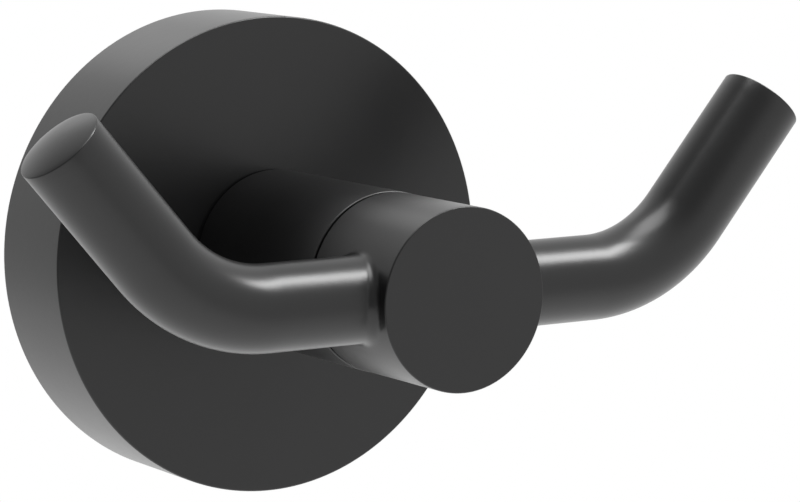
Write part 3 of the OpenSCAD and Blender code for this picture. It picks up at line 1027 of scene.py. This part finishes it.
class ROBEHOOK_OT_screws(bpy.types.Operator):
    """Make the post screw and the grub screw, with their threads and hexagon sockets"""

    bl_idname = "robehook.screws"
    bl_label = "Screws"

    def execute(self, context):
        fixing = context.scene.robe_hook_fixing
        tree = screw_thread_tree()
        self.post_screw(fixing, tree)
        self.grub_screw(fixing, tree)
        return {"FINISHED"}

    def post_screw(self, fixing, tree):
        """A domed socket screw through the rose and the neck into the head."""
        seat = WASHER_HIGH.y
        head_h = SCREW_HIGH.y - seat
        end = seat - SCREW_LOW.y
        head_r = fixing.screw_head_r
        dome_h = head_h - fixing.screw_rim
        dome_r = (head_r ** 2 + dome_h ** 2) / (2 * dome_h)
        rim_angle = math.asin(head_r / dome_r)
        section = arc((0.0, dome_r - head_h), dome_r, -RIGHT_ANGLE, rim_angle - RIGHT_ANGLE, 14)
        section += [(head_r, 0.0), (fixing.screw_r, 0.0)]
        start = end - fixing.screw_thread
        side_end = end - fixing.screw_chamfer
        section += self.threaded(fixing.screw_r, start, side_end, fixing.screw_pitch)
        section += [(fixing.screw_r - fixing.screw_chamfer, end), (0.0, end)]
        key = hex_cutter("Key", fixing.screw_socket, fixing.screw_socket_depth, head_h)
        key.transform(Matrix.Translation((0.0, 0.0, -head_h)))
        blank = turned_mesh("post_screw_m6", section, SCREW_SIDES)
        thread = (fixing.screw_r, fixing.screw_pitch, start)
        mesh = self.cut(blank, tree, thread, "zinc_steel", key)
        mesh.transform(Matrix.Translation((0.0, seat, 0.0)) @ OUT_OF_WALL)
        shown_piece("post_screw_m6", mesh, "zinc_steel", "post_screw")

    def grub_screw(self, fixing, tree):
        """A cup-point grub screw that presses on the wall plate's lower ear."""
        end = GRUB_HIGH.z - GRUB_LOW.z
        side_end = end - fixing.grub_chamfer
        rim = fixing.grub_chamfer / 3
        section = [(0.0, 0.0), (fixing.grub_r - rim, 0.0), (fixing.grub_r, rim)]
        section += self.threaded(fixing.grub_r, rim, side_end, fixing.grub_pitch)[1:]
        section += [
            (fixing.grub_r - fixing.grub_chamfer, end), (fixing.grub_cup_r, end),
            (0.0, end - fixing.grub_cup_r / 2),
        ]
        key = hex_cutter("Key", fixing.grub_socket, fixing.grub_socket_depth, end)
        blank = turned_mesh("grub_screw_m4", section, SCREW_SIDES)
        thread = (fixing.grub_r, fixing.grub_pitch, rim)
        mesh = self.cut(blank, tree, thread, "black_steel", key)
        mesh.transform(Matrix.Translation((0.0, (GRUB_LOW.y + GRUB_HIGH.y) / 2, GRUB_LOW.z)))
        shown_piece("grub_screw_m4", mesh, "black_steel", "grub_screw")

    def threaded(self, radius, start, end, pitch):
        """Section points close enough together to carry a thread."""
        steps = math.ceil((end - start) / pitch * THREAD_STEPS)
        return [(radius, height) for height in spread(start, end, steps)]

    def cut(self, blank, tree, thread, slot, key):
        """A blank with its socket and its thread, which is a radius, a pitch and a start."""
        radius, pitch, start = thread
        mesh = made_by_nodes(blank, tree, {
            "Pitch": pitch, "Start": start, "Side Radius": radius - pitch / 100,
            "Material": finish_of(slot),
        })
        return carved(mesh, [("DIFFERENCE", key)])


class ROBEHOOK_OT_studio(bpy.types.Operator):
    """Set up the camera, the lamps and the pale floor"""

    bl_idname = "robehook.studio"
    bl_label = "Studio"

    def execute(self, context):
        studio = context.scene.robe_hook_studio
        self.camera(context, studio)
        for prefix in ("key", "top", "back"):
            self.lamp(context, studio, prefix)
        self.floor(studio)
        self.world(context, studio)
        context.scene.view_settings.view_transform = "Standard"
        return {"FINISHED"}

    def camera(self, context, studio):
        """The camera at the photograph's viewing angle."""
        back = direction(studio.azimuth, studio.elevation)
        data = bpy.data.cameras.new("Camera")
        data.lens = studio.lens
        data.clip_start = 0.01
        camera = bpy.data.objects.new("Camera", data)
        camera.location = Vector(studio.target) + back * studio.distance
        aim = (-back).to_track_quat("-Z", "Y") @ Quaternion((0.0, 0.0, 1.0), studio.roll)
        camera.rotation_euler = aim.to_euler()
        context.scene.collection.objects.link(camera)
        context.scene.camera = camera

    def lamp(self, context, studio, prefix):
        """A soft box at its place round the hook, which it faces."""
        azimuth, elevation, width, height, light = (
            getattr(studio, f"{prefix}_{part}") for part in ("azimuth", "elevation", "w", "h", "light")
        )
        name = f"{prefix.capitalize()} Lamp"
        data = bpy.data.lights.new(name, "AREA")
        data.shape = "RECTANGLE"
        data.size = width
        data.size_y = height
        data.energy = light * math.pi * width * height
        out = direction(azimuth, elevation)
        lamp = bpy.data.objects.new(name, data)
        lamp.location = out * studio.lamp_distance
        lamp.rotation_euler = out.to_track_quat("Z", "Y").to_euler()
        lamp.visible_camera = False
        context.scene.collection.objects.link(lamp)

    def floor(self, studio):
        """A round white floor, which is seen as white where the lamps don't reach, and which a
        camera under it looks through."""
        bm = bmesh.new()
        bmesh.ops.create_circle(bm, cap_ends=True, segments=FLOOR_SIDES, radius=studio.floor_r)
        mesh = bpy.data.meshes.new("Floor")
        bm.to_mesh(mesh)
        bm.free()
        mesh.transform(Matrix.Translation((0.0, 0.0, -studio.floor_drop)))
        floor = bpy.data.objects.new("Floor", mesh)
        bpy.context.scene.collection.objects.link(floor)
        material = bpy.data.materials.new("White floor")
        material.use_nodes = True
        mesh.materials.append(material)
        tree = material.node_tree
        shader = tree.nodes["Principled BSDF"]
        shader.inputs["Base Color"].default_value = (FLOOR_TONE, FLOOR_TONE, FLOOR_TONE, 1.0)
        shader.inputs["Roughness"].default_value = FLOOR_ROUGHNESS
        shader.inputs["Emission Color"].default_value = WHITE
        seen = rays_of(tree, "Camera", "Glossy", "Transmission")
        added = calculate(tree, "MULTIPLY", seen, studio.floor_light)
        feed(tree, shader.inputs["Emission Strength"], added)
        one_sided = fed_node(tree, "ShaderNodeMixShader", {
            0: add_node(tree, "ShaderNodeNewGeometry").outputs["Backfacing"],
            1: shader.outputs[0],
            2: add_node(tree, "ShaderNodeBsdfTransparent").outputs[0],
        })[0]
        feed(tree, tree.nodes["Material Output"].inputs["Surface"], one_sided)

    def world(self, context, studio):
        """A white background, and a backdrop that lights the hook from its own side only."""
        world = bpy.data.worlds.new("World")
        world.use_nodes = True
        context.scene.world = world
        tree = world.node_tree
        side = fed_node(tree, "ShaderNodeVectorMath", {
            0: add_node(tree, "ShaderNodeTexCoord").outputs["Generated"],
            1: direction(studio.backdrop_azimuth, 0.0),
        }, operation="DOT_PRODUCT")["Value"]
        sweep = remapped(tree, side, SWEEP_SPAN, studio.room_light, studio.backdrop_light)
        sweep.node.interpolation_type = "SMOOTHSTEP"
        # Glossy rays see the sweep itself, so that metal shows the backdrop on its own side
        seen = rays_of(tree, "Camera", "Transmission")
        background = tree.nodes["Background"]
        background.inputs["Color"].default_value = WHITE
        feed(tree, background.inputs["Strength"], calculate(tree, "MAXIMUM", seen, sweep))


class ROBEHOOK_PT_build(bpy.types.Panel):
    """Builds the hook piece by piece"""

    bl_idname = "ROBEHOOK_PT_build"
    bl_label = "Double Robe Hook"
    bl_space_type = "VIEW_3D"
    bl_region_type = "UI"
    bl_category = "Robe Hook"

    def draw(self, context):
        layout = self.layout
        for operator in OPERATORS:
            layout.operator(operator.bl_idname)
        for group in GROUPS:
            box = layout.box()
            settings = getattr(context.scene, GROUPS[group])
            for name in group.__annotations__:
                box.prop(settings, name)


OPERATORS = (
    ROBEHOOK_OT_finishes, ROBEHOOK_OT_rose, ROBEHOOK_OT_neck, ROBEHOOK_OT_hook_head,
    ROBEHOOK_OT_wall_plate, ROBEHOOK_OT_lock_washer, ROBEHOOK_OT_screws, ROBEHOOK_OT_studio,
)
GROUPS = {
    PostSizes: "robe_hook_post", ArmSizes: "robe_hook_arms", FixingSizes: "robe_hook_fixing",
    FinishColours: "robe_hook_finish", StudioSetup: "robe_hook_studio",
}


def register():
    for group, name in GROUPS.items():
        bpy.utils.register_class(group)
        setattr(bpy.types.Scene, name, PointerProperty(type=group))
    for operator in OPERATORS:
        bpy.utils.register_class(operator)
    bpy.utils.register_class(ROBEHOOK_PT_build)


def unregister():
    bpy.utils.unregister_class(ROBEHOOK_PT_build)
    for operator in reversed(OPERATORS):
        bpy.utils.unregister_class(operator)
    for group, name in reversed(GROUPS.items()):
        delattr(bpy.types.Scene, name)
        bpy.utils.unregister_class(group)


def main():
    """Builds everything in order."""
    register()
    bpy.ops.robehook.finishes()
    bpy.ops.robehook.rose()
    bpy.ops.robehook.neck()
    bpy.ops.robehook.hook_head()
    bpy.ops.robehook.wall_plate()
    bpy.ops.robehook.lock_washer()
    bpy.ops.robehook.screws()
    bpy.ops.robehook.studio()
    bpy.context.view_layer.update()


if __name__ == "__main__":
    main()
